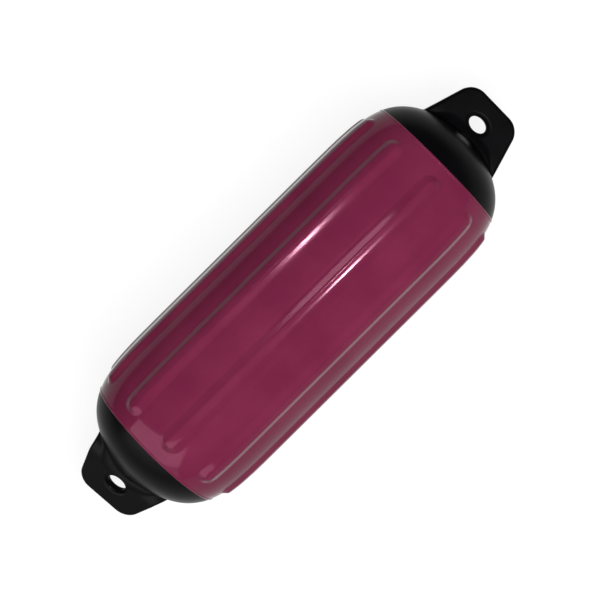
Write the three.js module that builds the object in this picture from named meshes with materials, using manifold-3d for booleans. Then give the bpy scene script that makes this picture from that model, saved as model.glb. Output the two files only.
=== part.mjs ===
// Inflatable boat fender of moulded vinyl, in millimetres.
//
// X runs along the fender, Z is up and the floor is level. The origin lies on the fender's axis,
// midway between the tips of its two rope eyes. The fender lies as it comes to rest, on two
// neighbouring raised strips, so its eye plates lean over by half a strip pitch.
//
// Every piece is first shaped with the eye plates level and the upper end towards +X.

import * as THREE from 'three';
import { mergeVertices } from 'three/addons/utils/BufferGeometryUtils.js';
import Module from 'manifold-3d';

const wasm = await Module();
wasm.setup();

// Inflated outline
const bodyRadius = 107;
const straightHalf = 110;
const domeReach = 182;
const shoulderPower = 5.05;
const domePower = 2.05;
const partingAt = 243;

// Burgundy body
const bodyWall = 3.2;
const seamLipWidth = 2.6;
const seamLipHeight = 0.9;

// Raised strips along the body, crowned across their width
const stripCount = 10;
const stripWidth = 29.5;
const stripHeight = 4.6;
const stripCrownRadius = 45;
const stripEndGap = 17;

// Black ends with their rope eyes
const endWall = 5;
const eyeReach = 55.5;
const eyeTipWidth = 79.5;
const eyeTaper = 0.3;
const eyeThickness = 14;
const eyeCornerRadius = 24;
const eyeEdgeRadius = 4;
const rootFillet = 12;
const rootFilletAtSides = 1.5;

// Rope hole through each eye
const holeFromTip = 33.5;
const holeAlong = 17;
const holeAcross = 25;
const holeRimRadius = 6;

// Set that the soft eyes have taken, bent at the root, in degrees: down, and towards a side
const upperEyeDroop = 3;
const lowerEyeDroop = 32;
const lowerEyeSwing = 4;
const eyeBendSetBack = 4;
const eyeBendLength = 14;

// Needle valve in the lower end, on the side away from the drooping eye's upper face
const valveFromParting = 18;
const valveHeadRadius = 8;
const valveHeadDepth = 2;
const valveHeadChamfer = 0.7;
const valveStemRadius = 5;
const valveTailRadius = 3.5;
const valveTailLength = 9;
const valveBeadRadius = 6.4;
const valveBeadDepth = 3;
const valveBeadGap = 1.2;
const needleRadius = 0.9;
const needleMouthRadius = 2.4;
const needleReach = 14;
const valveClearance = 0.3;

// Smoothness of the faceted surfaces
const roundSegments = 60;
const eyeSegments = 48;
const cavitySegments = 36;
const valveSegments = 20;
const shoulderSteps = 6;
const crownSteps = 6;
const domeSteps = 8;
const arcSteps = 5;
const plateSquash = 0.3;
const cutOverrun = 2;
const cutTolerance = 0.05;

// Colours and finish
const burgundyVinyl = { color: 0x7a2543, roughness: 0.28, metalness: 0 };
const blackVinyl = { color: 0x141414, roughness: 0.32, metalness: 0 };
const valveRubber = { color: 0x1c1c1c, roughness: 0.6, metalness: 0 };

// Worked out from the sizes above
const stripPitch = (2 * Math.PI) / stripCount;
const stripReach = partingAt - stripEndGap;
const domeApex = straightHalf + domeReach;
const eyeTip = domeApex + eyeReach;
const eyeHalfThickness = eyeThickness / 2;
const holeCentre = eyeTip - holeFromTip;
const eyeBendFrom = domeApex - eyeBendSetBack;

// Radius of the inflated skin at a distance along the axis from the middle of the body
function skinRadius(x) {
  const u = Math.max(0, Math.abs(x) - straightHalf) / domeReach;
  return bodyRadius * Math.pow(Math.max(0, 1 - Math.pow(u, shoulderPower)), 1 / domePower);
}

// Slope of the same outline
function skinSlope(x) {
  const step = 0.01;
  return (skinRadius(x + step) - skinRadius(x - step)) / (2 * step);
}

// Places along the axis between two distances, closer together towards the far one
function easedStations(from, to, steps) {
  const stations = [];
  for (let i = 0; i <= steps; i += 1) {
    stations.push(from + (to - from) * Math.sin((i / steps) * (Math.PI / 2)));
  }
  return stations;
}

// Distances from the middle of the body at which its curved skin is sampled, up to the seam lip
function bodyStations() {
  return easedStations(straightHalf, partingAt - seamLipWidth, shoulderSteps);
}

// A lathe turned about X: points are (radius, distance along X)
function turned(points, segments) {
  const geometry = new THREE.LatheGeometry(points, segments, Math.PI / segments);
  geometry.rotateZ(-Math.PI / 2);
  return geometry;
}

// The closed surface through a row of rings that have as many points each
function lofted(rings) {
  const count = rings[0].length;
  const positions = [];
  rings.flat().forEach((point) => positions.push(point.x, point.y, point.z));
  const firstCentre = positions.length / 3;
  const lastCentre = firstCentre + 1;
  [rings[0], rings.at(-1)].forEach((ring) => {
    const centre = new THREE.Vector3();
    ring.forEach((point) => centre.addScaledVector(point, 1 / count));
    positions.push(centre.x, centre.y, centre.z);
  });
  const indices = [];
  const lastRow = (rings.length - 1) * count;
  for (let j = 0; j < count; j += 1) {
    const next = (j + 1) % count;
    for (let row = 0; row < lastRow; row += count) {
      indices.push(row + j, row + next, row + count + next);
      indices.push(row + j, row + count + next, row + count + j);
    }
    indices.push(firstCentre, next, j);
    indices.push(lastCentre, lastRow + j, lastRow + next);
  }
  const geometry = new THREE.BufferGeometry();
  geometry.setAttribute('position', new THREE.Float32BufferAttribute(positions, 3));
  geometry.setIndex(indices);
  return geometry;
}

function toSolid(geometry) {
  const bare = geometry.clone();
  bare.deleteAttribute('normal');
  bare.deleteAttribute('uv');
  const merged = mergeVertices(bare, 1e-4);
  return new wasm.Manifold(new wasm.Mesh({
    numProp: 3,
    vertProperties: new Float32Array(merged.attributes.position.array),
    triVerts: new Uint32Array(merged.index.array),
  }));
}

function toGeometry(solid) {
  const mesh = solid.getMesh();
  const geometry = new THREE.BufferGeometry();
  geometry.setAttribute('position', new THREE.BufferAttribute(mesh.vertProperties, 3));
  geometry.setIndex(new THREE.BufferAttribute(mesh.triVerts, 1));
  geometry.computeVertexNormals();
  return geometry;
}

function namedMesh(name, geometry, finish) {
  const mesh = new THREE.Mesh(geometry, new THREE.MeshStandardMaterial(finish));
  mesh.name = name;
  return mesh;
}

// Body: the vinyl tube, open at both parting planes, with a small lip at each seam
function tubeGeometry() {
  const half = bodyStations();
  const outer = half.map((x) => new THREE.Vector2(skinRadius(x), x));
  const lipCrest = partingAt - seamLipWidth / 2;
  outer.push(new THREE.Vector2(skinRadius(lipCrest) + seamLipHeight, lipCrest));
  outer.push(new THREE.Vector2(skinRadius(partingAt) + seamLipHeight / 2, partingAt));
  const inner = [...half.filter((x, i) => i % 2 === 0), partingAt];
  const innerHalf = inner.map((x) => new THREE.Vector2(skinRadius(x) - bodyWall, x));
  const mirrored = (points) => points.map((p) => new THREE.Vector2(p.x, -p.y));
  const profile = [
    ...mirrored(outer).reverse(),
    ...outer,
    ...innerHalf.slice().reverse(),
    ...mirrored(innerHalf),
  ];
  profile.push(profile[0].clone());
  return turned(profile, roundSegments);
}

// One strip as a band with a crowned top, longer and wider than its outline, from inside the wall
// up to its crown
function stripBandGeometry() {
  const half = bodyStations().filter((x) => x < stripReach);
  half.push(stripReach + cutOverrun);
  const stations = [...half.map((x) => -x).reverse(), ...half];
  const halfWidth = stripWidth / 2 + cutOverrun;
  const arc = (x, centre, radius) => {
    const sweep = Math.asin(halfWidth / radius);
    const points = [];
    for (let i = 0; i <= crownSteps; i += 1) {
      const angle = THREE.MathUtils.lerp(sweep, -sweep, i / crownSteps);
      points.push(new THREE.Vector3(
        x,
        radius * Math.sin(angle),
        centre + radius * Math.cos(angle),
      ));
    }
    return points;
  };
  return lofted(stations.map((x) => [
    ...arc(x, skinRadius(x) + stripHeight - stripCrownRadius, stripCrownRadius),
    ...arc(x, 0, skinRadius(x) - bodyWall / 2).reverse(),
  ]));
}

// A strip's outline in plan, with half-round ends, raised straight out from the axis
function stripPlanGeometry() {
  const endRadius = stripWidth / 2;
  const centre = stripReach - endRadius;
  const outline = new THREE.Shape();
  outline.absarc(centre, 0, endRadius, -Math.PI / 2, Math.PI / 2, false);
  outline.absarc(-centre, 0, endRadius, Math.PI / 2, -Math.PI / 2, false);
  const geometry = new THREE.ExtrudeGeometry(outline, {
    depth: bodyRadius,
    bevelEnabled: false,
    curveSegments: arcSteps * 2,
  });
  geometry.translate(0, 0, bodyRadius / 2);
  return geometry;
}

function bodyShell() {
  const strip = toSolid(stripBandGeometry()).intersect(toSolid(stripPlanGeometry()));
  let solid = toSolid(tubeGeometry());
  for (let i = 0; i < stripCount; i += 1) {
    solid = solid.add(strip.rotate([THREE.MathUtils.radToDeg(i * stripPitch), 0, 0]));
  }
  return toGeometry(solid);
}

// Ends: how far a point lies outside the dome, near enough for blending
function distanceToDome(x, radius) {
  const u = Math.max(0, x - straightHalf) / domeReach;
  const v = radius / bodyRadius;
  const value = Math.pow(u, shoulderPower) + Math.pow(v, domePower) - 1;
  const slopeAlong = (shoulderPower * Math.pow(u, shoulderPower - 1)) / domeReach;
  const slopeOut = (domePower * Math.pow(v, domePower - 1)) / bodyRadius;
  return value / Math.hypot(slopeAlong, slopeOut, 1e-4);
}

// How far a point lies outside the eye plate: a tapered plate with round corners and edges
function distanceToPlate(x, y, z) {
  const slant = Math.atan(eyeTaper);
  const pastTip = x - (eyeTip - eyeCornerRadius);
  const pastSide = (x - eyeTip) * Math.sin(slant)
    + (Math.abs(y) - eyeTipWidth / 2) * Math.cos(slant) + eyeCornerRadius;
  const cosCorner = Math.sin(slant);
  const inCorner = pastTip > pastSide * cosCorner && pastSide > pastTip * cosCorner
    && Math.max(pastTip, pastSide) > 0;
  const toCorner = Math.sqrt(
    Math.max(0, pastTip ** 2 + pastSide ** 2 - 2 * pastTip * pastSide * cosCorner),
  ) / Math.cos(slant);
  const outline = (inCorner ? toCorner : Math.max(pastTip, pastSide)) - eyeCornerRadius;
  const fromOutline = outline + eyeEdgeRadius;
  const fromFace = Math.abs(z) - eyeHalfThickness + eyeEdgeRadius;
  const outside = Math.hypot(Math.max(fromOutline, 0), Math.max(fromFace, 0));
  return outside + Math.min(Math.max(fromOutline, fromFace), 0) - eyeEdgeRadius;
}

// The dome and the plate joined by a round fillet, wide on the plate's faces and fine at its sides
function distanceToEnd(x, y, z) {
  const dome = distanceToDome(x, Math.hypot(y, z));
  const plate = distanceToPlate(x, y, z);
  const baseHalfWidth = eyeTipWidth / 2 + eyeTaper * eyeReach;
  const sideways = THREE.MathUtils.smoothstep(Math.abs(y), baseHalfWidth * 0.5, baseHalfWidth);
  const fillet = THREE.MathUtils.lerp(rootFillet, rootFilletAtSides, sideways);
  const inFillet = Math.hypot(Math.max(fillet - dome, 0), Math.max(fillet - plate, 0));
  return Math.max(fillet, Math.min(dome, plate)) - inFillet;
}

// Distance from the axis to the end's surface, looking out at an angle from the plate's width
function endRadiusAt(x, angle) {
  let inside = 0;
  let outside = bodyRadius * 1.2;
  for (let i = 0; i < 40; i += 1) {
    const middle = (inside + outside) / 2;
    const gap = distanceToEnd(x, middle * Math.cos(angle), middle * Math.sin(angle));
    if (gap < 0) inside = middle;
    else outside = middle;
  }
  return inside;
}

// One cross-section of the end: its points crowd to the plate's edges as the dome turns to plate
function endRing(x) {
  const plateness = THREE.MathUtils.smoothstep(x, partingAt, domeApex);
  const squash = THREE.MathUtils.lerp(1, plateSquash, plateness);
  const ring = [];
  for (let j = 0; j < eyeSegments; j += 1) {
    const even = ((j + 0.5) / eyeSegments) * 2 * Math.PI;
    const angle = Math.atan2(squash * Math.sin(even), Math.cos(even));
    const radius = endRadiusAt(x, angle);
    ring.push(new THREE.Vector3(x, radius * Math.cos(angle), radius * Math.sin(angle)));
  }
  return ring;
}

function endOuterGeometry() {
  const stations = [
    ...easedStations(partingAt, domeApex, domeSteps),
    ...easedStations(domeApex, domeApex + rootFillet, arcSteps - 1).slice(1),
    holeCentre,
    eyeTip - eyeCornerRadius,
    ...easedStations(eyeTip - eyeCornerRadius, eyeTip - cutTolerance, arcSteps + 2).slice(1),
  ];
  return lofted(stations.map(endRing));
}

// The air space in the dome, as deep as the end wall leaves it
function endCavityGeometry() {
  const mouth = partingAt - endWall - cutOverrun;
  const points = easedStations(mouth, domeApex - cutTolerance, domeSteps).map((x) => {
    const slope = skinSlope(x);
    const length = Math.hypot(1, slope);
    return new THREE.Vector2(
      skinRadius(x) - endWall / length,
      x + (slope * endWall) / length,
    );
  });
  const profile = points.filter((point) => point.x > 0);
  profile.unshift(new THREE.Vector2(0, profile[0].y));
  profile.push(new THREE.Vector2(0, domeApex - endWall));
  return turned(profile, cavitySegments);
}

// The rope hole: an oval bore whose rims open towards both faces in almost a quarter round
function ropeHoleGeometry() {
  const straightTop = eyeHalfThickness - holeRimRadius;
  const rimSweep = THREE.MathUtils.degToRad(80);
  const upper = [];
  for (let i = 0; i <= arcSteps; i += 1) {
    const angle = (i / arcSteps) * rimSweep;
    upper.push({
      z: straightTop + holeRimRadius * Math.sin(angle),
      flare: holeRimRadius * (1 - Math.cos(angle)),
    });
  }
  upper.push({ z: eyeHalfThickness + rootFillet, flare: upper.at(-1).flare });
  const levels = [...upper.map(({ z, flare }) => ({ z: -z, flare })).reverse(), ...upper];
  const rings = levels.map(({ z, flare }) => {
    const oval = new THREE.EllipseCurve(0, 0, holeAlong / 2 + flare, holeAcross / 2 + flare);
    const points = oval.getPoints(eyeSegments / 2).slice(0, -1);
    return points.map((p) => new THREE.Vector3(holeCentre + p.x, p.y, z));
  });
  return lofted(rings);
}

// Places a piece turned about Z so that it points out of the dome where the valve sits
function seatedAtValve(geometry) {
  const x = partingAt + valveFromParting;
  const outward = new THREE.Vector3(-skinSlope(x), 0, -1).normalize();
  const seat = new THREE.Vector3(x, 0, -skinRadius(x));
  geometry.rotateX(Math.PI / 2);
  geometry.applyQuaternion(
    new THREE.Quaternion().setFromUnitVectors(new THREE.Vector3(0, 0, 1), outward),
  );
  geometry.translate(seat.x, seat.y, seat.z);
  return geometry;
}

// The stepped bore for the valve: points are (radius, height over the dome's skin)
function valveBoreGeometry() {
  const headBore = valveHeadRadius + valveClearance;
  const stemBore = valveStemRadius + valveClearance;
  const profile = [
    new THREE.Vector2(0, -endWall * 3),
    new THREE.Vector2(stemBore, -endWall * 3),
    new THREE.Vector2(stemBore, -valveHeadDepth),
    new THREE.Vector2(headBore, -valveHeadDepth),
    new THREE.Vector2(headBore, valveHeadDepth),
    new THREE.Vector2(0, valveHeadDepth),
  ];
  return seatedAtValve(new THREE.LatheGeometry(profile, valveSegments));
}

// The rubber valve: a flush head, a stem through the wall, a bead behind it and a needle channel
function needleValveGeometry() {
  const beadTop = -(endWall + valveBeadGap);
  const beadBottom = beadTop - valveBeadDepth;
  const profile = [
    new THREE.Vector2(0, beadBottom - valveTailLength),
    new THREE.Vector2(valveTailRadius, beadBottom - valveTailLength),
    new THREE.Vector2(valveStemRadius, beadBottom),
    new THREE.Vector2(valveBeadRadius, beadTop - valveBeadDepth / 2),
    new THREE.Vector2(valveBeadRadius, beadTop),
    new THREE.Vector2(valveStemRadius, beadTop),
    new THREE.Vector2(valveStemRadius, -valveHeadDepth),
    new THREE.Vector2(valveHeadRadius, -valveHeadDepth),
    new THREE.Vector2(valveHeadRadius, -valveHeadChamfer),
    new THREE.Vector2(valveHeadRadius - valveHeadChamfer, 0),
    new THREE.Vector2(needleMouthRadius, 0),
    new THREE.Vector2(needleRadius, -valveHeadDepth),
    new THREE.Vector2(needleRadius, -needleReach),
    new THREE.Vector2(0, -needleReach),
  ];
  return seatedAtValve(new THREE.LatheGeometry(profile, valveSegments));
}

// Where a point of an end piece lies once its eye is bent at the root, away from the direction
// in which its height is measured; past the bend it keeps its shape
function bentPoint(x, height, degrees) {
  const along = x - eyeBendFrom;
  if (degrees === 0 || along <= 0) return { x, height };
  const total = THREE.MathUtils.degToRad(degrees);
  const bendRadius = eyeBendLength / total;
  const turn = Math.min(along / eyeBendLength, 1) * total;
  const beyond = Math.max(along - eyeBendLength, 0);
  const reach = (bendRadius + height) * Math.sin(turn) + beyond * Math.cos(turn);
  const drop = bendRadius * (1 - Math.cos(turn)) + beyond * Math.sin(turn);
  return { x: eyeBendFrom + reach, height: height * Math.cos(turn) - drop };
}

// The eye swings towards +Y and droops towards -Z
function bentAtRoot(geometry, droop, swing) {
  const position = geometry.attributes.position;
  for (let i = 0; i < position.count; i += 1) {
    const swung = bentPoint(position.getX(i), position.getY(i), -swing);
    const bent = bentPoint(swung.x, position.getZ(i), droop);
    position.setXYZ(i, bent.x, swung.height, bent.height);
  }
  geometry.computeVertexNormals();
  return geometry;
}

function endMoulding(droop, swing, withValve) {
  let solid = toSolid(endOuterGeometry());
  solid = solid.subtract(toSolid(endCavityGeometry()));
  solid = solid.subtract(toSolid(ropeHoleGeometry()));
  if (withValve) solid = solid.subtract(toSolid(valveBoreGeometry()));
  return bentAtRoot(toGeometry(solid), droop, swing);
}

// Assembly
const fender = new THREE.Group();
fender.name = 'pneumatic_fender';
fender.rotation.x = stripPitch / 2;

const pieces = new THREE.Group();
fender.add(pieces);

pieces.add(namedMesh('body_shell', bodyShell(), burgundyVinyl));
pieces.add(namedMesh('upper_end', endMoulding(upperEyeDroop, 0, false), blackVinyl));

// The lower end faces the other way, with its upper face still up
const lowerGroup = new THREE.Group();
lowerGroup.rotation.z = Math.PI;
pieces.add(lowerGroup);
const lowerEnd = endMoulding(lowerEyeDroop, lowerEyeSwing, true);
lowerGroup.add(namedMesh('lower_end', lowerEnd, blackVinyl));
lowerGroup.add(namedMesh('needle_valve', needleValveGeometry(), valveRubber));

// The middle between the tips of both eyes goes to the origin
const span = new THREE.Box3().setFromObject(pieces);
pieces.position.x = -(span.min.x + span.max.x) / 2;

export default fender;
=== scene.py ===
# Inflatable boat fender of moulded vinyl, lying on its strips, seen from above
import math

import bmesh
import bpy
import numpy as np
from mathutils import Matrix, Vector


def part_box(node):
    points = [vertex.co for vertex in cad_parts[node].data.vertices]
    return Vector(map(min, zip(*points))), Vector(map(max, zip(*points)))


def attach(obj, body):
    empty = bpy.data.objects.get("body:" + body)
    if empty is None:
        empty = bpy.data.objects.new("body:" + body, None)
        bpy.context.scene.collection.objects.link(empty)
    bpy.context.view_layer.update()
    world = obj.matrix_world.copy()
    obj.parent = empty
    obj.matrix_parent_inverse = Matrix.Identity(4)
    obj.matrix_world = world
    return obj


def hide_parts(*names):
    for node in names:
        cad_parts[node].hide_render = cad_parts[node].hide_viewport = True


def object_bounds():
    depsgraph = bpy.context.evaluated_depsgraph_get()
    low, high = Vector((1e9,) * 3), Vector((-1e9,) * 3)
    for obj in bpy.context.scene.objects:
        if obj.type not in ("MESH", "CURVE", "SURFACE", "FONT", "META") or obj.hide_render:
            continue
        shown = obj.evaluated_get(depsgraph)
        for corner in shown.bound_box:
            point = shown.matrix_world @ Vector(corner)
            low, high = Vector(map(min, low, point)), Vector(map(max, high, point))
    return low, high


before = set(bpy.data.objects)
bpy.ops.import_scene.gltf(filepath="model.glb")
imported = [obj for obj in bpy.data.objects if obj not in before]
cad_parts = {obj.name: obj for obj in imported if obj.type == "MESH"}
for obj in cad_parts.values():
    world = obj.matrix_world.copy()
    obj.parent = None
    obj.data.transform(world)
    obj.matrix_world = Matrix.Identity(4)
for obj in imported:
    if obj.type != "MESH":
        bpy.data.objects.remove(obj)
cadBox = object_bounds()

mm = 0.001

# Inflated outline that the body and both ends share, in mm from the middle of the body
outline = {
    "radius": 107.0,
    "straightHalf": 110.0,
    "domeReach": 182.0,
    "shoulderPower": 5.05,
    "domePower": 2.05,
    "partingAt": 243.0,    # burgundy meets black
    "leanDegrees": 18.0,   # half a strip pitch, as it rests on two strips
}


def skinRadius(x):
    u = np.maximum(0, np.abs(x) - outline["straightHalf"]) / outline["domeReach"]
    rest = np.maximum(0, 1 - u ** outline["shoulderPower"])
    return outline["radius"] * rest ** (1 / outline["domePower"])


# Black ends with their rope eyes, in mm
ends = {
    "wall": 5.0,
    "eyeReach": 55.5,
    "tipWidth": 79.5,
    "taper": 0.3,
    "thickness": 14.0,
    "cornerRadius": 24.0,
    "edgeRadius": 4.0,
    "rootFillet": 12.0,
    "filletAtSides": 1.5,
    "fadeFrom": 0.5,       # share of the root's half width where its fillet starts to fade
    "holeFromTip": 33.5,
    "holeAlong": 17.0,
    "holeAcross": 25.0,
    "holeRim": 6.0,
    "upperDroop": 3.0,     # degrees
    "lowerDroop": 32.0,
    "lowerSwing": 4.0,     # sideways
    "bendSetBack": 4.0,
    "bendLength": 14.0,
}
domeApex = outline["straightHalf"] + outline["domeReach"]
eyeTip = domeApex + ends["eyeReach"]
bendFrom = domeApex - ends["bendSetBack"]


# Where a point lies once the eye is bent down at its root, and how far it has turned
def bentPoint(x, height, degrees):
    total = math.radians(degrees or 1e-6)   # a straight eye still needs a bend radius
    bendRadius = ends["bendLength"] / total
    along = np.maximum(x - bendFrom, 0)
    turn = np.minimum(along / ends["bendLength"], 1) * total
    beyond = np.maximum(along - ends["bendLength"], 0)
    reach = (bendRadius + height) * np.sin(turn) + beyond * np.cos(turn)
    drop = bendRadius * (1 - np.cos(turn)) + beyond * np.sin(turn)
    newX = np.where(x > bendFrom, bendFrom + reach, x)
    newHeight = np.where(x > bendFrom, height * np.cos(turn) - drop, height)
    return newX, newHeight, turn


# The fender's own axes to the frame's: the body lies just off the middle between both tips
bodyLow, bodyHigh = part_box("body_shell")
bodyCentreX = (bodyLow[0] + bodyHigh[0]) / 2 / mm
leaning = Matrix.Rotation(math.radians(outline["leanDegrees"]), 4, "X")
placeUpper = leaning @ Matrix.Translation((bodyCentreX * mm, 0, 0))
placeLower = placeUpper @ Matrix.Rotation(math.pi, 4, "Z")


# Node helpers for all materials
def toLinear(hexValue):
    parts = [int(hexValue[i:i + 2], 16) / 255 for i in (1, 3, 5)]
    return tuple(c / 12.92 if c <= 0.04045 else ((c + 0.055) / 1.055) ** 2.4
                 for c in parts) + (1.0,)


def addNode(tree, kind, settings={}, links={}):
    node = tree.nodes.new("ShaderNode" + kind)
    for key, value in settings.items():
        if isinstance(key, int) or key in node.inputs:
            node.inputs[key].default_value = value
        else:
            setattr(node, key, value)
    for key, (source, output) in links.items():
        tree.links.new(source.outputs[output], node.inputs[key])
    return node


def newMaterial(name):
    material = bpy.data.materials.new(name)
    material.use_nodes = True
    material.node_tree.nodes.clear()
    return material, material.node_tree


# One mesh object from arrays in mm, placed in the frame
def meshPiece(name, points, faces, place, material):
    mesh = bpy.data.meshes.new(name)
    placed = np.c_[np.asarray(points) * mm, np.ones(len(points))] @ np.array(place).T
    mesh.from_pydata(placed[:, :3].tolist(), [], [list(f) for f in faces])
    mesh.materials.append(material)
    mesh.shade_smooth()
    mesh.update()
    piece = bpy.data.objects.new(name, mesh)
    bpy.context.scene.collection.objects.link(piece)
    return piece


# A closed strip of quads around rings that have as many points each
def ringFaces(ringCount, around, closed=False):
    rows = np.arange(ringCount if closed else ringCount - 1)
    a = rows[:, None] * around + np.arange(around)[None, :]
    b = rows[:, None] * around + (np.arange(around) + 1)[None, :] % around
    up = around
    total = ringCount * around
    quads = np.stack([a, b, (b + up) % total, (a + up) % total], axis=-1)
    return quads.reshape(-1, 4).tolist()


# Burgundy body: plasticised PVC, rotationally moulded in a polished mould. The eye sees a deep
# wine red under a hard gloss, faintly rippled like orange peel, a little duller where handled.
vinylLook = {
    "deep": "#702340",
    "clear": "#782945",
    "mottleMm": 70.0,      # slow change of shade from uneven wall and pigment
    "peelMm": 9.0,         # orange peel
    "peelHeightMm": 0.004,
    "grainMm": 2.2,        # real grain is under 0.5 mm, drawn coarser so it shows
    "grainHeightMm": 0.001,
    "scuffMm": 26.0,
    "scuffStretch": 0.22,  # scuffs run along the fender, as it is dragged by its eyes
    "roughLow": 0.07,
    "roughHigh": 0.13,
    "ior": 1.53,
    "reflects": 0.1,       # set under PVC's 0.5, so the white floor shows only faintly
    "tint": "#ffbdd6",     # as its highlights look slightly pink
}


def burgundyVinyl():
    look = vinylLook
    material, tree = newMaterial("vinylBurgundyRotomoulded")
    place = addNode(tree, "TexCoord")
    mottle = addNode(tree, "TexNoise", {"Scale": 1000 / look["mottleMm"], "Detail": 3.0,
                                        "Roughness": 0.5}, {"Vector": (place, "Object")})
    grain = addNode(tree, "TexNoise", {"Scale": 1000 / look["grainMm"], "Detail": 2.0},
                    {"Vector": (place, "Object")})
    peel = addNode(tree, "TexNoise", {"Scale": 1000 / look["peelMm"], "Detail": 1.0,
                                      "Roughness": 0.4}, {"Vector": (place, "Object")})
    along = addNode(tree, "Mapping", {"Scale": (look["scuffStretch"], 1.0, 1.0)},
                    {"Vector": (place, "Object")})
    scuff = addNode(tree, "TexNoise", {"Scale": 1000 / look["scuffMm"], "Detail": 5.0,
                                       "Roughness": 0.62}, {"Vector": (along, "Vector")})
    shade = addNode(tree, "MapRange", {"From Min": 0.36, "From Max": 0.64},
                    {"Value": (mottle, "Fac")})
    speck = addNode(tree, "MapRange", {"From Min": 0.3, "From Max": 0.7, "To Min": 0.975,
                                       "To Max": 1.025}, {"Value": (grain, "Fac")})
    colour = addNode(tree, "Mix", {"data_type": "RGBA", 6: toLinear(look["deep"]),
                                   7: toLinear(look["clear"])}, {0: (shade, "Result")})
    tinted = addNode(tree, "HueSaturation", {}, {"Color": (colour, 2),
                                                 "Value": (speck, "Result")})
    rough = addNode(tree, "MapRange", {"From Min": 0.35, "From Max": 0.7,
                                       "To Min": look["roughLow"], "To Max": look["roughHigh"]},
                    {"Value": (scuff, "Fac")})
    peelBump = addNode(tree, "Bump", {"Strength": 1.0, "Distance": look["peelHeightMm"] * mm},
                       {"Height": (peel, "Fac")})
    grainBump = addNode(tree, "Bump", {"Strength": 1.0, "Distance": look["grainHeightMm"] * mm},
                        {"Height": (grain, "Fac"), "Normal": (peelBump, "Normal")})
    vinyl = addNode(tree, "BsdfPrincipled", {"Metallic": 0.0, "IOR": look["ior"],
                                             "Specular IOR Level": look["reflects"],
                                             "Specular Tint": toLinear(look["tint"])},
                    {"Base Color": (tinted, "Color"), "Roughness": (rough, "Result"),
                     "Normal": (grainBump, "Normal")})
    addNode(tree, "OutputMaterial", {}, {"Surface": (vinyl, "BSDF")})
    return material


# Black ends: the same vinyl, injection moulded stiffer. The eye sees a soft satin black with a
# fine moulded grain and the thin flash line where the two mould halves met.
blackLook = {
    "black": "#060607",
    "worn": "#0c0c0e",
    "mottleMm": 38.0,
    "grainMm": 1.8,        # spark-eroded grain, really near 0.3 mm, drawn coarser to show
    "grainHeightMm": 0.004,
    "rippleMm": 14.0,
    "rippleHeightMm": 0.02,
    "flashWidthMm": 0.7,
    "flashHeightMm": 0.18,
    "flashStopMm": 6.0,    # it is trimmed off this far before the eye's bend
    "roughLow": 0.27,
    "roughHigh": 0.36,
    "ior": 1.53,
    "reflects": 0.03,      # set under PVC's 0.5, so the white floor hardly shows
}


def blackVinyl():
    look = blackLook
    material, tree = newMaterial("vinylBlackInjectionMoulded")
    place = addNode(tree, "TexCoord")
    mottle = addNode(tree, "TexNoise", {"Scale": 1000 / look["mottleMm"], "Detail": 5.0,
                                        "Roughness": 0.6}, {"Vector": (place, "Object")})
    grain = addNode(tree, "TexNoise", {"Scale": 1000 / look["grainMm"], "Detail": 2.0},
                    {"Vector": (place, "Object")})
    ripple = addNode(tree, "TexNoise", {"Scale": 1000 / look["rippleMm"], "Detail": 1.0},
                     {"Vector": (place, "Object")})
    # height over the plane through both eye plates, where the mould halves met
    lean = math.radians(outline["leanDegrees"])
    overPlane = addNode(tree, "VectorMath", {"operation": "DOT_PRODUCT",
                                             1: (0.0, -math.sin(lean), math.cos(lean))},
                        {0: (place, "Object")})
    offPlane = addNode(tree, "Math", {"operation": "ABSOLUTE"}, {0: (overPlane, "Value")})
    line = addNode(tree, "MapRange", {"interpolation_type": "SMOOTHSTEP", "From Min": 0.0,
                                      "From Max": look["flashWidthMm"] * mm, "To Min": 1.0,
                                      "To Max": 0.0}, {"Value": (offPlane, "Value")})
    parts = addNode(tree, "SeparateXYZ", {}, {0: (place, "Object")})
    outward = addNode(tree, "Math", {"operation": "ABSOLUTE"}, {0: (parts, "X")})
    stop = (bendFrom - look["flashStopMm"]) * mm
    onDome = addNode(tree, "Math", {"operation": "LESS_THAN", 1: stop}, {0: (outward, "Value")})
    flash = addNode(tree, "Math", {"operation": "MULTIPLY"}, {0: (line, "Result"),
                                                              1: (onDome, "Value")})
    colour = addNode(tree, "Mix", {"data_type": "RGBA", 6: toLinear(look["black"]),
                                   7: toLinear(look["worn"])}, {0: (mottle, "Fac")})
    rough = addNode(tree, "MapRange", {"From Min": 0.3, "From Max": 0.7,
                                       "To Min": look["roughLow"], "To Max": look["roughHigh"]},
                    {"Value": (mottle, "Fac")})
    flashBump = addNode(tree, "Bump", {"Strength": 1.0, "Distance": look["flashHeightMm"] * mm},
                        {"Height": (flash, "Value")})
    rippleBump = addNode(tree, "Bump", {"Strength": 1.0,
                                        "Distance": look["rippleHeightMm"] * mm},
                         {"Height": (ripple, "Fac"), "Normal": (flashBump, "Normal")})
    grainBump = addNode(tree, "Bump", {"Strength": 1.0, "Distance": look["grainHeightMm"] * mm},
                        {"Height": (grain, "Fac"), "Normal": (rippleBump, "Normal")})
    vinyl = addNode(tree, "BsdfPrincipled", {"Metallic": 0.0, "IOR": look["ior"],
                                             "Specular IOR Level": look["reflects"]},
                    {"Base Color": (colour, 2), "Roughness": (rough, "Result"),
                     "Normal": (grainBump, "Normal")})
    addNode(tree, "OutputMaterial", {}, {"Surface": (vinyl, "BSDF")})
    return material


# Needle valve: compression moulded EPDM rubber. The eye sees a flat charcoal black, matt and
# slightly dusty in its fine pores.
rubberLook = {
    "rubber": "#1a1a1a",
    "bloom": "#262626",
    "bloomMm": 5.0,
    "poreMm": 0.9,         # pores near 0.2 mm, drawn coarser to show
    "poreHeightMm": 0.01,
    "roughLow": 0.55,
    "roughHigh": 0.7,
    "ior": 1.5,
}


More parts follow.
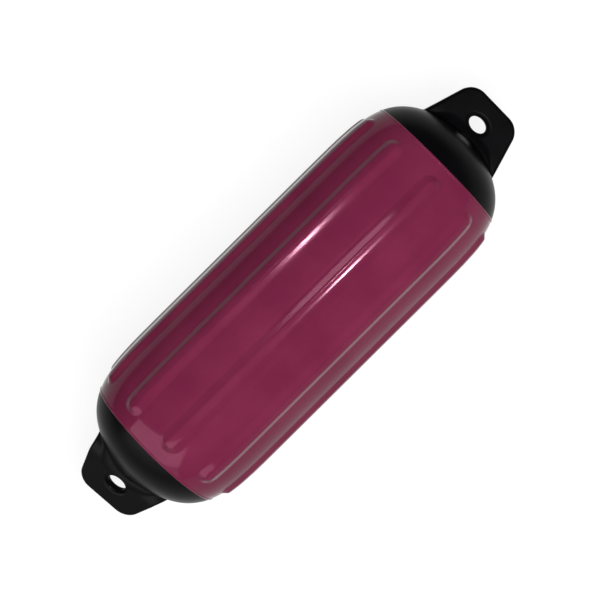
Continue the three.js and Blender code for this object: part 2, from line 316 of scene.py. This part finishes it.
def valveRubber():
    look = rubberLook
    material, tree = newMaterial("rubberEpdmMoulded")
    place = addNode(tree, "TexCoord")
    bloom = addNode(tree, "TexNoise", {"Scale": 1000 / look["bloomMm"], "Detail": 4.0},
                    {"Vector": (place, "Object")})
    pores = addNode(tree, "TexNoise", {"Scale": 1000 / look["poreMm"], "Detail": 2.0},
                    {"Vector": (place, "Object")})
    colour = addNode(tree, "Mix", {"data_type": "RGBA", 6: toLinear(look["rubber"]),
                                   7: toLinear(look["bloom"])}, {0: (bloom, "Fac")})
    rough = addNode(tree, "MapRange", {"To Min": look["roughLow"], "To Max": look["roughHigh"]},
                    {"Value": (pores, "Fac")})
    poreBump = addNode(tree, "Bump", {"Strength": 1.0, "Distance": look["poreHeightMm"] * mm},
                       {"Height": (pores, "Fac")})
    rubber = addNode(tree, "BsdfPrincipled", {"Metallic": 0.0, "IOR": look["ior"]},
                     {"Base Color": (colour, 2), "Roughness": (rough, "Result"),
                      "Normal": (poreBump, "Normal")})
    addNode(tree, "OutputMaterial", {}, {"Surface": (rubber, "BSDF")})
    return material


# Camera, in mm: nearly overhead, a little to the side, looking square onto the fender's axis
cameraSet = {
    "distance": 2200.0,
    "footFromCentre": 100.0,   # where its axis meets the fender's, towards the upper end
    "tiltDegrees": 11.1,
    "rollDegrees": 44.75,
    "frameWidth": 738.4,       # what the frame spans at the fender's axis
    "sensorWidth": 36.0,
    "shift": (-0.09, -0.088),  # shares of the frame's width
    "farClip": 50000.0,
}
tilt = math.radians(cameraSet["tiltDegrees"])
roll = math.radians(cameraSet["rollDegrees"])
alongFender = Vector((1, 0, 0))
acrossFender = Vector((0, math.cos(tilt), math.sin(tilt)))
towardsCamera = Vector((0, -math.sin(tilt), math.cos(tilt)))
foot = Vector(((bodyCentreX + cameraSet["footFromCentre"]) * mm, 0, 0))


# A direction turned about the fender from the camera's, positive towards the lower right
def aroundFender(degrees):
    turn = math.radians(degrees)
    return math.cos(turn) * towardsCamera - math.sin(turn) * acrossFender


def makeCamera():
    data = bpy.data.cameras.new("studioCamera")
    data.sensor_width = cameraSet["sensorWidth"]
    data.lens = cameraSet["sensorWidth"] * cameraSet["distance"] / cameraSet["frameWidth"]
    data.shift_x, data.shift_y = cameraSet["shift"]
    data.clip_end = cameraSet["farClip"] * mm
    camera = bpy.data.objects.new("studioCamera", data)
    right = math.cos(roll) * alongFender - math.sin(roll) * acrossFender
    up = math.sin(roll) * alongFender + math.cos(roll) * acrossFender
    turned = Matrix((right, up, towardsCamera)).transposed().to_4x4()
    stand = foot + towardsCamera * cameraSet["distance"] * mm
    camera.matrix_world = Matrix.Translation(stand) @ turned
    bpy.context.scene.collection.objects.link(camera)
    bpy.context.scene.camera = camera


# Light, in metres: a soft key from the camera's side, three small lamps that draw two streaks
# and a faint band, two panels beyond the lower end, and a pale floor that lights the undersides.
# A turn is in degrees about the fender, a lean from overhead, and x in mm from the body's middle.
lightSet = {
    "key": {"turn": 12.0, "distance": 3.0, "size": (1.6, 1.6), "watts": 102.0},
    "streaks": [
        {"turn": -0.5, "x": 36.0, "distance": 2.2, "size": (0.1, 0.07), "watts": 9.0},
        {"turn": 16.5, "x": 44.0, "distance": 2.2, "size": (0.2, 0.07), "watts": 19.0},
        {"turn": -43.5, "x": 50.0, "distance": 2.2, "size": (0.2, 0.4), "watts": 3.0},
    ],
    "panels": [
        {"lean": 48.0, "aside": -0.35, "distance": 2.2, "size": (1.3, 3.0), "watts": 84.0},
        {"lean": 74.0, "aside": -0.35, "distance": 2.2, "size": (0.76, 3.0), "watts": 15.0},
    ],
    "skyFill": 0.08,        # light from all round
    "skyGloss": 0.05,       # how bright the room is in reflections
    "floorSize": 14.0,
    "floorLit": 0.16,       # how pale the floor is to the camera, which shows its shadow
    "floorGlow": 0.88,      # its own glow there, which makes it white
    "floorPlain": 0.35,     # what it throws back onto the fender
}


# A lamp lights surfaces or shows in their gloss, so each can be set without the other
def makeLamp(name, position, lamp, shape="RECTANGLE", inReflections=True):
    data = bpy.data.lights.new(name, "AREA")
    data.shape = shape
    data.size, data.size_y = lamp["size"]
    data.energy = lamp["watts"]
    light = bpy.data.objects.new(name, data)
    aim = position.to_track_quat("Z", "X").to_matrix().to_4x4()
    light.matrix_world = Matrix.Translation(position) @ aim
    light.visible_camera = False
    light.visible_glossy = inReflections
    light.visible_diffuse = not inReflections
    bpy.context.scene.collection.objects.link(light)


def makeLights():
    key = lightSet["key"]
    position = aroundFender(key["turn"]) * key["distance"]
    makeLamp("keyLight", position, key, inReflections=False)
    for number, lamp in enumerate(lightSet["streaks"]):
        position = aroundFender(lamp["turn"]) * lamp["distance"]
        position.x = (bodyCentreX + lamp["x"]) * mm
        makeLamp(f"streakLight{number + 1}", position, lamp, "ELLIPSE")
    for number, lamp in enumerate(lightSet["panels"]):
        lean = math.radians(lamp["lean"])
        position = Vector((-math.sin(lean), 0, math.cos(lean))) * lamp["distance"]
        position.y = lamp["aside"]
        makeLamp(f"panelLight{number + 1}", position, lamp)


# White where the camera looks, a grey room for gloss and a plain fill for everything else
def makeSky():
    world = bpy.data.worlds.new("studioSky")
    world.use_nodes = True
    tree = world.node_tree
    tree.nodes.clear()
    rays = addNode(tree, "LightPath")
    lit = addNode(tree, "Mix", {"data_type": "FLOAT", 2: lightSet["skyFill"],
                                3: lightSet["skyGloss"]}, {0: (rays, "Is Glossy Ray")})
    seen = addNode(tree, "Math", {"operation": "MAXIMUM"}, {0: (rays, "Is Camera Ray"),
                                                            1: (rays, "Is Transmission Ray")})
    strength = addNode(tree, "Mix", {"data_type": "FLOAT", 3: 1.0}, {0: (seen, "Value"),
                                                                     2: (lit, 0)})
    sky = addNode(tree, "Background", {"Color": (1, 1, 1, 1)}, {"Strength": (strength, 0)})
    addNode(tree, "OutputWorld", {}, {"Surface": (sky, "Background")})
    bpy.context.scene.world = world


# Floor: a white painted board. Its glow for the camera makes it white, and it keeps the shadow.
def makeFloor():
    material, tree = newMaterial("boardPaintedWhite")
    rays = addNode(tree, "LightPath")
    direct = addNode(tree, "Math", {"operation": "MAXIMUM"}, {0: (rays, "Is Camera Ray"),
                                                              1: (rays, "Is Glossy Ray")})
    seen = addNode(tree, "Math", {"operation": "MAXIMUM"}, {0: (direct, "Value"),
                                                            1: (rays, "Is Transmission Ray")})
    lit = addNode(tree, "BsdfDiffuse", {"Color": (lightSet["floorLit"],) * 3 + (1,)})
    glow = addNode(tree, "Emission", {"Color": (1, 1, 1, 1),
                                      "Strength": lightSet["floorGlow"]})
    shown = addNode(tree, "AddShader", {}, {0: (lit, "BSDF"), 1: (glow, "Emission")})
    plain = addNode(tree, "BsdfDiffuse", {"Color": (lightSet["floorPlain"],) * 3 + (1,)})
    both = addNode(tree, "MixShader", {}, {0: (seen, "Value"), 1: (plain, "BSDF"),
                                           2: (shown, "Shader")})
    addNode(tree, "OutputMaterial", {}, {"Surface": (both, "Shader")})
    half = lightSet["floorSize"] / 2 / mm
    level = cadBox[0][2] / mm
    corners = [(-half, -half, level), (half, -half, level), (half, half, level),
               (-half, half, level)]
    floor = meshPiece("studioFloor", corners, [(0, 1, 2, 3)], Matrix.Identity(4), material)


# Body: ten crowned strips with half-round ends on the inflated tube, and a lip at each seam
body = {
    "wall": 3.2,
    "lipWidth": 2.6,
    "lipHeight": 0.9,
    "lipPower": 2.4,       # how full its section is, where 2 is half an ellipse
    "stripCount": 10,
    "stripWidth": 29.5,
    "stripHeight": 4.6,
    "crownRadius": 45.0,
    "stripEndGap": 17.0,
    "sideFlank": 12.5,     # from a strip's foot up to its full height
    "endFlank": 8.0,
    "footShare": 0.1,      # part of a flank that lies outside the strip's outline
    "softShare": 0.2,      # part of a flank that is rounded, at its foot and at its top
}

# Mesh spacing of the body in mm: columns crowd at a strip's rims, rows at its round ends
bodyMesh = {
    "columns": [0, 1.4, 2.6, 3.3, 3.9, 4.5, 5.1, 5.7, 6.3, 7.2, 8.2, 9.2, 10.2, 11.2, 12.2,
                12.9, 13.5, 14, 14.5, 14.9, 15.3, 15.7, 16.1, 16.8, 18.8, 22, 25, 28, 31.2],
    "columnLift": 1.5,          # the columns' distances are measured this far over the skin
    "tubeRows": (0, 198, 12),   # first, last and how many
    "rowBands": [(202, 217, 1.5), (217.6, 228.4, 0.6), (229, 240, 1.2)],   # start, stop, step
    "lipRows": 13,
    "innerRows": [225, 200, 160, 110, 0],   # inside the wall, from near the seam inwards
}


# From 0 to 1 on a straight slope with a rounded foot and top
def softRamp(value):
    soft = body["softShare"]
    t = np.clip(value, 0, 1)
    foot = np.minimum(t, soft) ** 2 / (2 * soft)
    slope = np.clip(t - soft, 0, 1 - 2 * soft)
    top = soft / 2 - np.minimum(1 - t, soft) ** 2 / (2 * soft)
    return (foot + slope + top) / (1 - soft)


# Height over the skin at a distance sideways from a strip's middle line
def stripRise(x, aside):
    half = body["stripWidth"] / 2
    endCentre = outline["partingAt"] - body["stripEndGap"] - half
    beyond = np.maximum(np.abs(x) - endCentre, 0)
    fromMiddle = np.hypot(beyond, aside)
    inward = half - fromMiddle
    endwise = (beyond / np.maximum(fromMiddle, 1e-6)) ** 2
    flank = body["sideFlank"] + (body["endFlank"] - body["sideFlank"]) * endwise
    flatter = 1 / body["crownRadius"] - 1 / outline["radius"]
    crown = body["stripHeight"] - aside ** 2 / 2 * flatter
    return crown * softRamp(inward / flank + body["footShare"])


def lipRise(x):
    across = (outline["partingAt"] - np.abs(x)) / body["lipWidth"] * 2 - 1
    return body["lipHeight"] * np.sqrt(np.maximum(0, 1 - np.abs(across) ** body["lipPower"]))


# Angles round the body, where each strip's middle is a whole number of pitches
def bodyAngles(pitch):
    columns = np.array(bodyMesh["columns"])
    half = np.append(columns / (outline["radius"] + bodyMesh["columnLift"]), pitch / 2)
    turns = np.concatenate([-half[:0:-1], half[:-1]])
    return (np.arange(body["stripCount"])[:, None] * pitch + turns[None, :]).ravel()


def bodyRows():
    acrossLip = (1 + np.cos(np.linspace(0, math.pi, bodyMesh["lipRows"]))) / 2
    side = [np.linspace(*bodyMesh["tubeRows"])]
    side += [np.arange(*band) for band in bodyMesh["rowBands"]]
    side.append(outline["partingAt"] - body["lipWidth"] * acrossLip)
    side = np.concatenate(side)
    return np.concatenate([-side[:0:-1], side])


def buildBody(material):
    pitch = 2 * math.pi / body["stripCount"]
    angles = bodyAngles(pitch)
    rows = bodyRows()
    x, angle = np.meshgrid(rows, angles, indexing="ij")
    nearest = np.round(angle / pitch) * pitch
    skin = skinRadius(x)
    rise = stripRise(x, skin * np.sin(angle - nearest)) + lipRise(x)
    outer = np.stack([x, (skin + rise) * np.sin(angle), (skin + rise) * np.cos(angle)], axis=-1)
    innerHalf = np.array([outline["partingAt"]] + bodyMesh["innerRows"])
    innerRows = np.concatenate([innerHalf, -innerHalf[-2::-1]])
    x, angle = np.meshgrid(innerRows, angles, indexing="ij")
    inside = skinRadius(x) - body["wall"]
    inner = np.stack([x, inside * np.sin(angle), inside * np.cos(angle)], axis=-1)
    points = np.concatenate([outer.reshape(-1, 3), inner.reshape(-1, 3)])
    faces = ringFaces(len(rows) + len(innerRows), len(angles), closed=True)
    piece = meshPiece("bodySkin", points, [f[::-1] for f in faces], placeUpper, material)
    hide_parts("body_shell")
    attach(piece, "root")
    print("body", len(piece.data.polygons), "faces")


# Ends: how far points lie outside the dome, and outside the eye's tapered plate
def fromDome(x, radius):
    flattest = 1e-8   # keeps it finite in the middle of the body
    u = np.maximum(0, x - outline["straightHalf"]) / outline["domeReach"]
    v = radius / outline["radius"]
    value = u ** outline["shoulderPower"] + v ** outline["domePower"] - 1
    slopeAlong = outline["shoulderPower"] * u ** (outline["shoulderPower"] - 1) \
        / outline["domeReach"]
    slopeOut = outline["domePower"] * v ** (outline["domePower"] - 1) / outline["radius"]
    return value / np.sqrt(slopeAlong ** 2 + slopeOut ** 2 + flattest)


def fromPlate(x, y, z):
    slant = math.atan(ends["taper"])
    corner, edge = ends["cornerRadius"], ends["edgeRadius"]
    pastTip = x - (eyeTip - corner)
    pastSide = (x - eyeTip) * math.sin(slant) \
        + (np.abs(y) - ends["tipWidth"] / 2) * math.cos(slant) + corner
    mix = math.sin(slant)
    inCorner = (pastTip > pastSide * mix) & (pastSide > pastTip * mix) \
        & (np.maximum(pastTip, pastSide) > 0)
    toCorner = np.sqrt(np.maximum(
        0, pastTip ** 2 + pastSide ** 2 - 2 * pastTip * pastSide * mix)) / math.cos(slant)
    plan = np.where(inCorner, toCorner, np.maximum(pastTip, pastSide)) - corner + edge
    face = np.abs(z) - ends["thickness"] / 2 + edge
    return np.hypot(np.maximum(plan, 0), np.maximum(face, 0)) \
        + np.minimum(np.maximum(plan, face), 0) - edge


# How far points lie outside the oval rope hole's outline
def fromHole(x, y):
    a, b = ends["holeAlong"] / 2, ends["holeAcross"] / 2
    dx = x - (eyeTip - ends["holeFromTip"])
    k = np.hypot(dx / a, y / b)
    return (k - 1) * k / np.maximum(np.hypot(dx / a ** 2, y / b ** 2), 1e-6)


def smoothStep(value, low, high):
    t = np.clip((value - low) / (high - low), 0, 1)
    return t * t * (3 - 2 * t)


# The whole moulding: dome and plate joined by a fillet that fades towards the plate's sides,
# a rope hole with full round rims, and the air space inside
def fromMoulding(p):
    x, y, z = p[..., 0], p[..., 1], p[..., 2]
    dome = fromDome(x, np.hypot(y, z))
    plate = fromPlate(x, y, z)
    baseHalf = ends["tipWidth"] / 2 + ends["taper"] * ends["eyeReach"]
    sideways = smoothStep(np.abs(y), baseHalf * ends["fadeFrom"], baseHalf)
    fillet = ends["rootFillet"] + (ends["filletAtSides"] - ends["rootFillet"]) * sideways
    joined = np.maximum(fillet, np.minimum(dome, plate)) \
        - np.hypot(np.maximum(fillet - dome, 0), np.maximum(fillet - plate, 0))
    rim = ends["holeRim"]
    hole = -fromHole(x, y)
    holed = np.minimum(-rim, np.maximum(joined, hole)) \
        + np.hypot(np.maximum(joined + rim, 0), np.maximum(hole + rim, 0))
    return np.maximum(holed, -(dome + ends["wall"]))


def fieldSlope(field, p):
    step = 0.02
    moves = np.eye(3) * step
    return np.stack([(field(p + m) - field(p - m)) / (2 * step) for m in moves], axis=-1)


# Points moved onto the surface where the field is zero
def settle(field, points):
    rounds = 6
    flattest = 0.05
    longest = 1.0
    for _ in range(rounds):
        slope = fieldSlope(field, points)
        reach = field(points) / np.maximum((slope ** 2).sum(axis=-1), flattest)
        points = points - np.clip(reach, -longest, longest)[:, None] * slope
    return points


# Skin over the solid where the field is below zero: one point in each cell that the surface
# crosses, moved onto the surface, and a quad over each grid edge that it crosses
def wrapField(field, axes):
    grid = np.stack(np.meshgrid(*axes, indexing="ij"), axis=-1)
    value = field(grid)
    cells = np.array(value.shape) - 1
    total = np.zeros((cells.prod(), 3))
    count = np.zeros(cells.prod())
    quads = []
    for axis in range(3):
        low = [slice(None)] * 3
        high = [slice(None)] * 3
        low[axis], high[axis] = slice(None, -1), slice(1, None)
        v0, v1 = value[tuple(low)], value[tuple(high)]
        hit = np.argwhere((v0 < 0) != (v1 < 0))
        at = tuple(hit.T)
        share = (v0[at] / (v0[at] - v1[at]))[:, None]
        crossing = grid[tuple(low)][at] * (1 - share) + grid[tuple(high)][at] * share
        others = [(axis + 1) % 3, (axis + 2) % 3]
        corners = []
        fits = np.ones(len(hit), bool)
        for back in ((1, 1), (0, 1), (0, 0), (1, 0)):
            cell = hit.copy()
            cell[:, others[0]] -= back[0]
            cell[:, others[1]] -= back[1]
            inside = ((cell >= 0) & (cell < cells)).all(axis=1)
            fits &= inside
            flat = (cell[:, 0] * cells[1] + cell[:, 1]) * cells[2] + cell[:, 2]
            for k in range(3):
                total[:, k] += np.bincount(flat[inside], crossing[inside, k], len(total))
            count += np.bincount(flat[inside], minlength=len(count))
            corners.append(flat)
        quad = np.stack(corners, axis=-1)[fits]
        leaving = (v0[at] < 0)[fits]
        quad[~leaving] = quad[~leaving][:, ::-1]
        quads.append(quad)
    used = np.flatnonzero(count)
    number = np.zeros(len(count), int)
    number[used] = np.arange(len(used))
    points = settle(field, total[used] / count[used][:, None])
    return points, number[np.concatenate(quads)]


# Needle valve in the lower end, in mm
valve = {
    "fromParting": 18.0,
    "headRadius": 8.0,
    "headDepth": 2.0,
    "headRound": 0.7,
    "headBevel": 0.3,
    "stemRadius": 5.0,
    "stemTaper": 0.96,     # share of its radius that it narrows to at its foot
    "tailRadius": 3.5,
    "tailTaper": 0.9,      # and the tail at its end
    "tailLength": 9.0,
    "tailBevel": 0.6,
    "beadRadius": 6.4,
    "beadDepth": 3.0,
    "beadGap": 1.2,
    "beadArc": 60,         # degrees of its bulge on each side of its crest
    "beadStep": 20,        # degrees from one point to the next
    "headStep": 15,
    "mouthRows": 9,
    "needleRadius": 0.9,
    "mouthRadius": 2.4,
    "mouthPower": 1.6,     # how hollow the dish round the needle's mouth is
    "needleReach": 14.0,
    "clearance": 0.3,
    "seatRound": 0.6,
    "boreWalls": 3,        # depth of its bore in walls of the end, so well through
    "around": 72,
}


# Seat of the valve on the lower end's dome, in that end's own axes
def valveSeat():
    x = outline["partingAt"] + valve["fromParting"]
    step = 0.01
    slope = float(skinRadius(x + step) - skinRadius(x - step)) / (2 * step)
    outward = Vector((-slope, 0, -1)).normalized()
    return Vector((x, 0, -float(skinRadius(x)))), outward


# The lower end has a stepped bore for its valve
def fromLowerMoulding(p):
    seat, outward = valveSeat()
    offset = p - np.array(seat)
    up = offset @ np.array(outward)
    aside = np.sqrt(np.maximum((offset ** 2).sum(axis=-1) - up ** 2, 0))
    head = np.maximum(aside - valve["headRadius"] - valve["clearance"],
                      -up - valve["headDepth"])
    stem = np.maximum(aside - valve["stemRadius"] - valve["clearance"],
                      -up - valve["boreWalls"] * ends["wall"])
    bore = -np.minimum(head, stem)
    solid = fromMoulding(p)
    soft = valve["seatRound"]
    return np.minimum(-soft, np.maximum(solid, bore)) \
        + np.hypot(np.maximum(solid + soft, 0), np.maximum(bore + soft, 0))


# Mesh spacing of the ends in mm
endMesh = {
    "coarseStep": 2.4,
    "fineStep": 1.15,           # over the eye
    "seatStep": 0.8,            # around the valve
    "beforeApex": 12.0,         # where the eye's fine steps start along the fender
    "besideEye": 60.0,
    "overEye": 18.0,
    "seatBox": (11, 10, 12),    # half its size along, across and up
    "beforeParting": 5.0,       # cut off again at the parting plane
    "pastTip": 2.0,
    "pastDome": 1.0,
    "cutTolerance": 1e-4,
}


# Coarse steps from low to high, with finer ones inside each band (start, stop, step)
def gridLine(low, high, bands):
    values = [low]
    while values[-1] < high:
        steps = [step for start, stop, step in bands if start <= values[-1] < stop]
        values.append(values[-1] + min(steps + [endMesh["coarseStep"]]))
    return np.array(values)


# The three lines of the grid on which an end's skin is found
def endAxes(withValve):
    fine = endMesh["fineStep"]
    tip = eyeTip + endMesh["pastTip"]
    dome = outline["radius"] + endMesh["pastDome"]
    beside, over = endMesh["besideEye"], endMesh["overEye"]
    bands = [[(domeApex - endMesh["beforeApex"], tip, fine)], [(-beside, beside, fine)],
             [(-over, over, fine)]]
    if withValve:
        seat, _ = valveSeat()
        for band, middle, half in zip(bands, seat, endMesh["seatBox"]):
            band.append((middle - half, middle + half, endMesh["seatStep"]))
    lows = (outline["partingAt"] - endMesh["beforeParting"], -dome, -dome)
    return [gridLine(low, high, band)
            for low, high, band in zip(lows, (tip, dome, dome), bands)]


# A clean flat joint to the body at the parting plane, closed between skin and air space
def cutAtParting(mesh):
    shell = bmesh.new()
    shell.from_mesh(mesh)
    everything = shell.verts[:] + shell.edges[:] + shell.faces[:]
    bmesh.ops.bisect_plane(shell, geom=everything, dist=endMesh["cutTolerance"],
                           plane_co=(outline["partingAt"], 0, 0), plane_no=(1, 0, 0),
                           clear_inner=True)
    bmesh.ops.bridge_loops(shell, edges=[e for e in shell.edges if e.is_boundary])
    bmesh.ops.recalc_face_normals(shell, faces=shell.faces[:])
    shell.to_mesh(mesh)
    shell.free()


# Bends points and their normals at the eye's root, in place: sideways, then down
def bendEye(points, normals, swing, droop):
    for side, degrees in ((1, -swing), (2, droop)):
        newX, newSide, turn = bentPoint(points[:, 0], points[:, side], degrees)
        nx, ns = normals[:, 0].copy(), normals[:, side].copy()
        normals[:, 0] = nx * np.cos(turn) + ns * np.sin(turn)
        normals[:, side] = ns * np.cos(turn) - nx * np.sin(turn)
        points[:, 0], points[:, side] = newX, newSide


# How many edges don't have exactly two faces
def openEdges(mesh):
    edgeOfLoop = np.zeros(len(mesh.loops), int)
    mesh.loops.foreach_get("edge_index", edgeOfLoop)
    use = np.bincount(edgeOfLoop, minlength=len(mesh.edges))
    return int((use != 2).sum())


def buildEnd(name, field, place, droop, swing, node, material):
    points, quads = wrapField(field, endAxes(field is fromLowerMoulding))
    mesh = bpy.data.meshes.new(name)
    mesh.from_pydata(points.tolist(), [], quads.tolist())
    cutAtParting(mesh)
    flat = np.empty(len(mesh.vertices) * 3)
    mesh.vertices.foreach_get("co", flat)
    points = flat.reshape(-1, 3)
    # normals come straight from the shape, not from the faces
    normals = fieldSlope(field, points)
    bendEye(points, normals, swing, droop)
    turned = np.array(place.to_3x3())
    placed = points @ turned.T * mm + np.array(place.to_translation())
    mesh.vertices.foreach_set("co", placed.ravel())
    mesh.materials.append(material)
    mesh.shade_smooth()
    mesh.update()
    normals = normals @ turned.T
    normals /= np.maximum(np.linalg.norm(normals, axis=-1, keepdims=True), 1e-9)
    mesh.normals_split_custom_set_from_vertices(normals.tolist())
    piece = bpy.data.objects.new(name, mesh)
    bpy.context.scene.collection.objects.link(piece)
    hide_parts(node)
    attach(piece, "root")
    print(name, len(mesh.polygons), "faces, open edges", openEdges(mesh))


# Half of the valve's section from its tail to its needle channel: radius and height over the skin
def valveProfile():
    v = valve
    stem, head, headFoot = v["stemRadius"], v["headRadius"], -v["headDepth"]
    beadTop = -(ends["wall"] + v["beadGap"])
    beadBottom = beadTop - v["beadDepth"]
    beadHalf = v["beadDepth"] / 2
    tailEnd = beadBottom - v["tailLength"]
    profile = [(v["tailRadius"] * v["tailTaper"], tailEnd),
               (v["tailRadius"], tailEnd + v["tailBevel"]),
               (stem * v["stemTaper"], beadBottom - v["tailBevel"]), (stem, beadBottom)]
    bulge = beadHalf / math.sin(math.radians(v["beadArc"]))
    for degrees in range(-v["beadArc"], v["beadArc"] + 1, v["beadStep"]):
        turn = math.radians(degrees)
        profile.append((stem + (v["beadRadius"] - stem) * math.cos(turn),
                        beadTop - beadHalf + bulge * math.sin(turn)))
    profile += [(stem, beadTop), (stem, headFoot), (head - v["headBevel"], headFoot),
                (head, headFoot + v["headBevel"])]
    for degrees in range(0, 91, v["headStep"]):
        turn = math.radians(degrees)
        profile.append((head - v["headRound"] * (1 - math.cos(turn)),
                        -v["headRound"] * (1 - math.sin(turn))))
    # a shallow dish leads the needle into its channel
    for t in np.linspace(0, 1, v["mouthRows"]):
        radius = v["mouthRadius"] + (v["needleRadius"] - v["mouthRadius"]) * t
        profile.append((radius, headFoot * t ** v["mouthPower"]))
    profile.append((v["needleRadius"], -v["needleReach"]))
    return profile


def buildValve(material):
    profile = valveProfile()
    seat, outward = valveSeat()
    turned = outward.to_track_quat("Z", "Y").to_matrix().to_4x4()
    place = placeLower @ Matrix.Translation(seat * mm) @ turned
    around = valve["around"]
    angles = np.arange(around) / around * 2 * math.pi
    rings = np.array([[(r * math.cos(a), r * math.sin(a), h) for a in angles]
                      for r, h in profile])
    middles = [(0, 0, profile[0][1]), (0, 0, profile[-1][1])]
    points = np.concatenate([rings.reshape(-1, 3), middles])
    tailMiddle, needleMiddle = len(points) - 2, len(points) - 1
    faces = ringFaces(len(profile), around)
    last = (len(profile) - 1) * around
    for j in range(around):
        k = (j + 1) % around
        faces.append((tailMiddle, k, j))
        faces.append((needleMiddle, last + j, last + k))
    piece = meshPiece("needleValve", points, faces, place, material)
    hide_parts("needle_valve")
    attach(piece, "root")
    print("valve", len(piece.data.polygons), "faces")


makeCamera()
makeLights()
makeSky()
makeFloor()
print("studio done")
buildBody(burgundyVinyl())
black = blackVinyl()
buildEnd("upperEndMoulding", fromMoulding, placeUpper, ends["upperDroop"], 0.0, "upper_end",
         black)
buildEnd("lowerEndMoulding", fromLowerMoulding, placeLower, ends["lowerDroop"],
         ends["lowerSwing"], "lower_end", black)
buildValve(valveRubber())

bpy.context.scene.view_settings.view_transform = "Standard"
